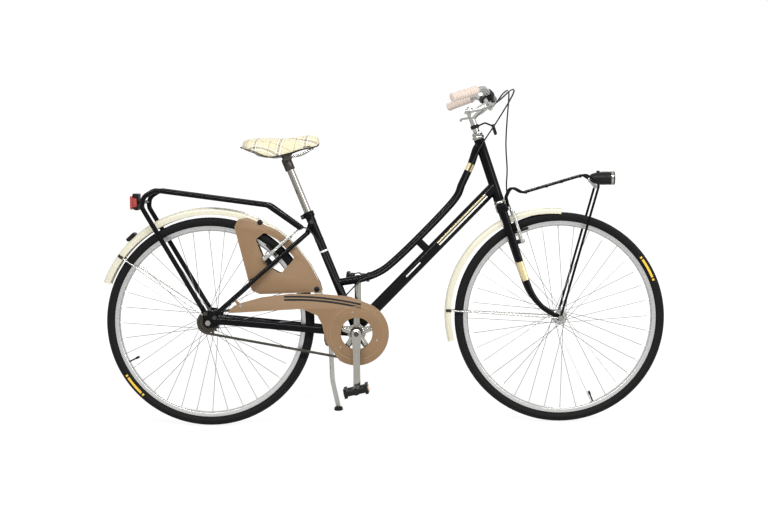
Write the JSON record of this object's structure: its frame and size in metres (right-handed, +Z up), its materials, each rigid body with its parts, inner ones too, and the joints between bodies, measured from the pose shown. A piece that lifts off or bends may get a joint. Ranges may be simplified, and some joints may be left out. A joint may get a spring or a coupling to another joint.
{
  "type": "step-through city bicycle",
  "caption": "Step-through city bicycle with mudguards, front and rear racks, skirt and chain guards, hand brakes, lamps and a side stand, leaning on the stand.",
  "frame": {"origin": "centre of the bounding box's base, on the floor, with the bicycle leaning 5 degrees to its left onto its side stand", "axes": "+X towards the front wheel, +Y to the rider's left, +Z up"},
  "size_m": [1.8548, 0.58, 1.1129],
  "materials": {
    "black_plastic": "matte",
    "silver": "satin",
    "dark_steel": "satin",
    "tan_plastic": "satin",
    "chrome": "polished",
    "black_paint": "gloss",
    "cream_paint": "gloss",
    "tyre_rubber": "matte",
    "beige_rubber": "matte",
    "clear_plastic": "gloss",
    "red_plastic": "gloss",
    "saddle_cloth": "woven"
  },
  "bodies": {
    "frame_and_racks": {"frame": "black_paint", "seat_stay_left": "black_paint", "seat_stay_right": "black_paint", "headset_cup_lower": "silver", "headset_cup_upper": "silver", "rear_axle": "dark_steel", "rear_mudguard": "cream_paint", "mudguard_reflector": "red_plastic", "skirt_guard_left": "tan_plastic", "skirt_guard_right": "tan_plastic", "chain_guard": "tan_plastic", "rear_carrier": "black_paint", "rear_lamp_housing": "black_plastic", "rear_lamp_lens": "red_plastic", "seat_clamp": "black_paint", "rear_brake_cable": "black_plastic", "chain": "dark_steel", "kickstand_mount": "dark_steel"},
    "steering": {"fork": "black_paint", "headset_locknut": "silver", "front_axle": "dark_steel", "front_mudguard": "cream_paint", "front_rack": "black_paint", "front_brake_cable": "black_plastic"},
    "front_wheel": {"front_tyre": "tyre_rubber", "front_rim": "silver", "front_hub": "silver"},
    "rear_wheel": {"rear_tyre": "tyre_rubber", "rear_rim": "silver", "rear_hub": "silver"},
    "headlamp": {"headlamp_housing": "black_plastic", "headlamp_lens": "clear_plastic"},
    "seat_post": {"seat_post": "silver", "saddle_clamp": "dark_steel", "saddle_rails": "dark_steel", "saddle": "saddle_cloth"},
    "stem": {"quill_stem": "silver", "handlebar": "silver", "front_reflector": "black_plastic", "grip_left": "beige_rubber", "brake_bracket_left": "black_plastic", "grip_right": "beige_rubber", "brake_bracket_right": "black_plastic"},
    "brake_lever_left": {"brake_lever_left": "silver"},
    "brake_lever_right": {"brake_lever_right": "silver"},
    "front_arm_left": {"front_brake_arm_left": "silver"},
    "rear_arm_left": {"rear_brake_arm_left": "silver"},
    "front_arm_right": {"front_brake_arm_right": "silver"},
    "rear_arm_right": {"rear_brake_arm_right": "silver"},
    "crank": {"crank_spindle": "dark_steel", "crank_right": "chrome", "crank_left": "chrome", "chainring": "chrome", "pedal_axle_left": "dark_steel", "pedal_axle_right": "dark_steel"},
    "sprocket": {"freewheel_sprocket": "dark_steel"},
    "pedal_left": {"pedal_left": "black_plastic"},
    "pedal_right": {"pedal_right": "black_plastic"},
    "kickstand": {"kickstand_leg": "silver"}
  },
  "joints": [
    {"name": "steering_joint", "type": "hinge", "parent": "frame_and_racks", "child": "steering", "pos_m": [0.38854, -0.0284, 0.7293], "axis": [-0.3007, 0.0831, 0.9501], "range_deg": [-55, 55], "deforming": ["rear_brake_cable"]},
    {"name": "front_wheel_joint", "type": "hinge", "parent": "steering", "child": "front_wheel", "pos_m": [0.58144, -0.06201, 0.34512], "axis": [0, 0.9962, -0.0872], "continuous": true},
    {"name": "rear_wheel_joint", "type": "hinge", "parent": "frame_and_racks", "child": "rear_wheel", "pos_m": [-0.57356, -0.06201, 0.34512], "axis": [0, 0.9962, -0.0872], "continuous": true},
    {"name": "headlamp_joint", "type": "hinge", "parent": "steering", "child": "headlamp", "pos_m": [0.70644, -0.02462, 0.77249], "axis": [0, 0.9962, -0.0872], "range_deg": [-10, 10]},
    {"name": "seat_post_joint", "type": "slide", "parent": "frame_and_racks", "child": "seat_post", "axis": [-0.3665, 0.0811, 0.9269], "range_m": [-0.038, 0.045]},
    {"name": "stem_joint", "type": "slide", "parent": "steering", "child": "stem", "axis": [-0.3007, 0.0831, 0.9501], "range_m": [-0.01, 0.035], "deforming": ["front_brake_cable"]},
    {"name": "brake_lever_left_joint", "type": "hinge", "parent": "stem", "child": "brake_lever_left", "pos_m": [0.3604, 0.15562, 1.03333], "axis": [0.6801, 0.6744, 0.2875], "range_deg": [0, 11.5], "stiffness_Nm_per_rad": 1.5, "springref_deg": -22.92},
    {"name": "brake_lever_right_joint", "type": "hinge", "parent": "stem", "child": "brake_lever_right", "pos_m": [0.3604, -0.15683, 1.06066], "axis": [-0.6801, 0.6142, -0.4003], "range_deg": [0, 11.5], "stiffness_Nm_per_rad": 1.5, "springref_deg": -22.92},
    {"name": "front_arm_left_joint", "type": "hinge", "parent": "steering", "child": "front_arm_left", "pos_m": [0.43317, -0.00089, 0.58482], "axis": [0.9537, 0.0262, 0.2996], "range_deg": [0, 2.6]},
    {"name": "rear_arm_left_joint", "type": "hinge", "parent": "frame_and_racks", "child": "rear_arm_left", "pos_m": [-0.36699, -0.00606, 0.52566], "axis": [0.6521, -0.0661, -0.7552], "range_deg": [0, 2.6]},
    {"name": "front_arm_right_joint", "type": "hinge", "parent": "steering", "child": "front_arm_right", "pos_m": [0.43317, -0.08058, 0.59179], "axis": [-0.9537, -0.0262, -0.2996], "range_deg": [0, 2.6]},
    {"name": "rear_arm_right_joint", "type": "hinge", "parent": "frame_and_racks", "child": "rear_arm_right", "pos_m": [-0.36699, -0.08576, 0.53263], "axis": [-0.6521, 0.0661, 0.7552], "range_deg": [0, 2.6]},
    {"name": "crank_joint", "type": "hinge", "parent": "frame_and_racks", "child": "crank", "pos_m": [-0.08656, -0.06559, 0.30428], "axis": [0, 0.9962, -0.0872], "continuous": true},
    {"name": "sprocket_joint", "type": "hinge", "parent": "frame_and_racks", "child": "sprocket", "pos_m": [-0.57356, -0.06201, 0.34512], "axis": [0, 0.9962, -0.0872], "continuous": true},
    {"name": "pedal_left_joint", "type": "hinge", "parent": "crank", "child": "pedal_left", "pos_m": [-0.08656, 0.10308, 0.46519], "axis": [0, 0.9962, -0.0872], "continuous": true},
    {"name": "pedal_right_joint", "type": "hinge", "parent": "crank", "child": "pedal_right", "pos_m": [-0.08656, -0.23425, 0.14336], "axis": [0, 0.9962, -0.0872], "continuous": true},
    {"name": "kickstand_joint", "type": "hinge", "parent": "frame_and_racks", "child": "kickstand", "pos_m": [-0.17856, -0.02267, 0.27844], "axis": [0.1588, 0.9021, 0.4012], "range_deg": [0, 88]}
  ],
  "couplings": [
    {"joint": "sprocket_joint", "follows": "crank_joint", "ratio": 2.4444},
    {"joint": "front_arm_left_joint", "follows": "brake_lever_left_joint", "ratio": 0.22},
    {"joint": "front_arm_right_joint", "follows": "brake_lever_left_joint", "ratio": 0.22},
    {"joint": "rear_arm_left_joint", "follows": "brake_lever_right_joint", "ratio": 0.22},
    {"joint": "rear_arm_right_joint", "follows": "brake_lever_right_joint", "ratio": 0.22}
  ]
}
